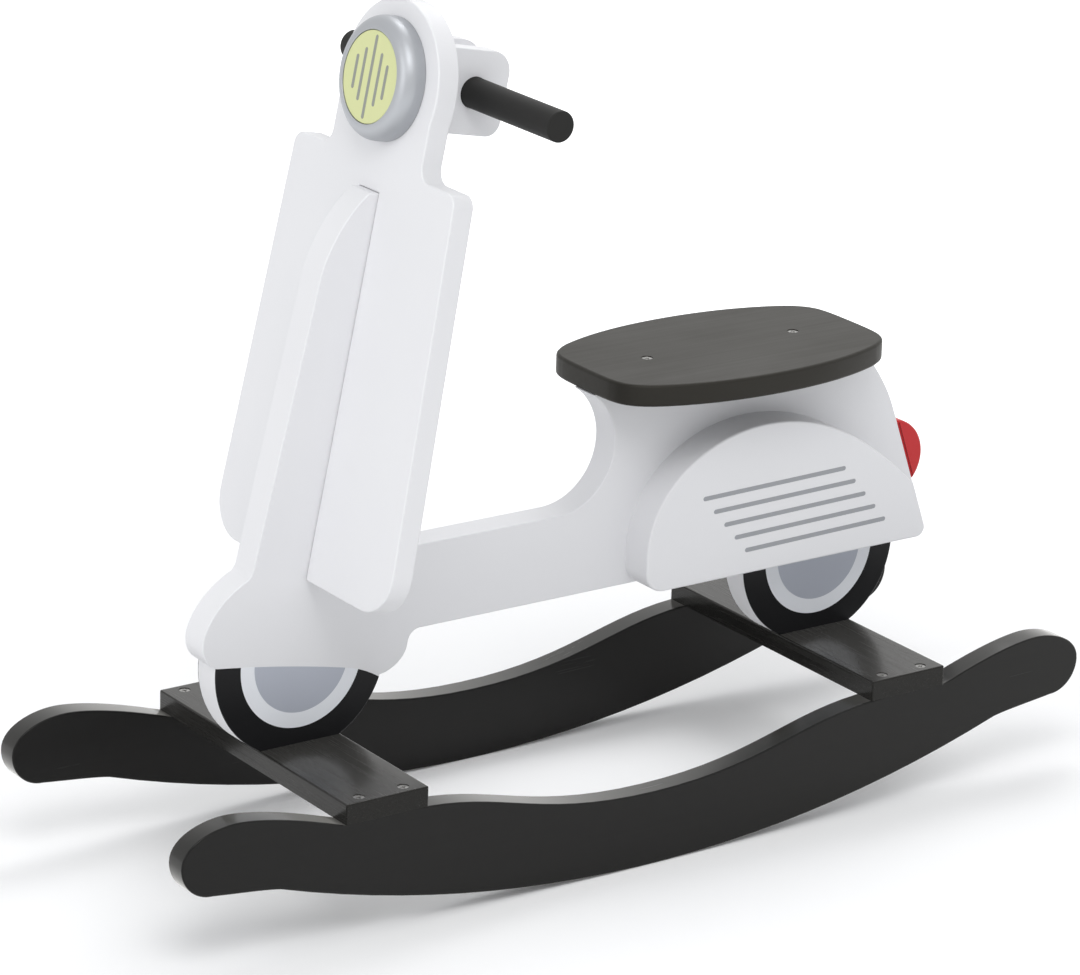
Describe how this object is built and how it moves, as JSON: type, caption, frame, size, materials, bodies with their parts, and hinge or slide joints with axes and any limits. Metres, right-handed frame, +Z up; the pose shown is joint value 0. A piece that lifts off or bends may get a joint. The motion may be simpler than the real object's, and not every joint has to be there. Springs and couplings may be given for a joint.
{
  "type": "rocking scooter",
  "caption": "Child's ride-on scooter of painted boards on two curved rockers, with a leaning leg shield, round headlight, black seat and a round handlebar.",
  "frame": {"origin": "on the floor, midway between the two rockers and midway between their tips", "axes": "+X forward (headlight side), +Y to the rider's left, +Z up"},
  "size_m": [0.782, 0.258, 0.6229],
  "materials": {
    "white_paint": "satin white paint on wood",
    "black_paint": "satin black paint on wood",
    "seat_black": "matt grey-black paint on wood",
    "silver_paint": "silver paint on turned wood",
    "lime_paint": "pale yellow-green paint",
    "red_paint": "satin red paint on wood",
    "dowel_beech": "bare beech",
    "screw_steel": "zinc-plated wood screw"
  },
  "bodies": {
    "root": {"rocker_left": "black_paint", "rocker_right": "black_paint", "rail_front": "black_paint", "rail_rear": "black_paint", "rail_screw_front_1": "screw_steel", "rail_screw_front_2": "screw_steel", "rail_screw_front_3": "screw_steel", "rail_screw_front_4": "screw_steel", "rail_screw_rear_1": "screw_steel", "rail_screw_rear_2": "screw_steel", "rail_screw_rear_3": "screw_steel", "rail_screw_rear_4": "screw_steel", "foot_screw_front_1": "screw_steel", "foot_screw_front_2": "screw_steel", "foot_screw_rear_1": "screw_steel", "foot_screw_rear_2": "screw_steel", "centre_panel": "white_paint", "seat": "seat_black", "seat_screw_1": "screw_steel", "seat_screw_2": "screw_steel", "cowl_left": "white_paint", "cowl_right": "white_paint", "cowl_dowel_1": "dowel_beech", "cowl_dowel_2": "dowel_beech", "cowl_dowel_3": "dowel_beech", "tail_light": "red_paint", "tail_light_dowel": "dowel_beech", "leg_shield": "white_paint", "handle_cheek_left": "white_paint", "handle_cheek_right": "white_paint", "shield_dowel_1": "dowel_beech", "shield_dowel_2": "dowel_beech", "shield_dowel_3": "dowel_beech", "shield_dowel_4": "dowel_beech", "handlebar": "seat_black", "handlebar_screw": "screw_steel", "headlight_ring": "silver_paint", "headlight_lens": "lime_paint", "headlight_dowel": "dowel_beech"}
  },
  "joints": []
}
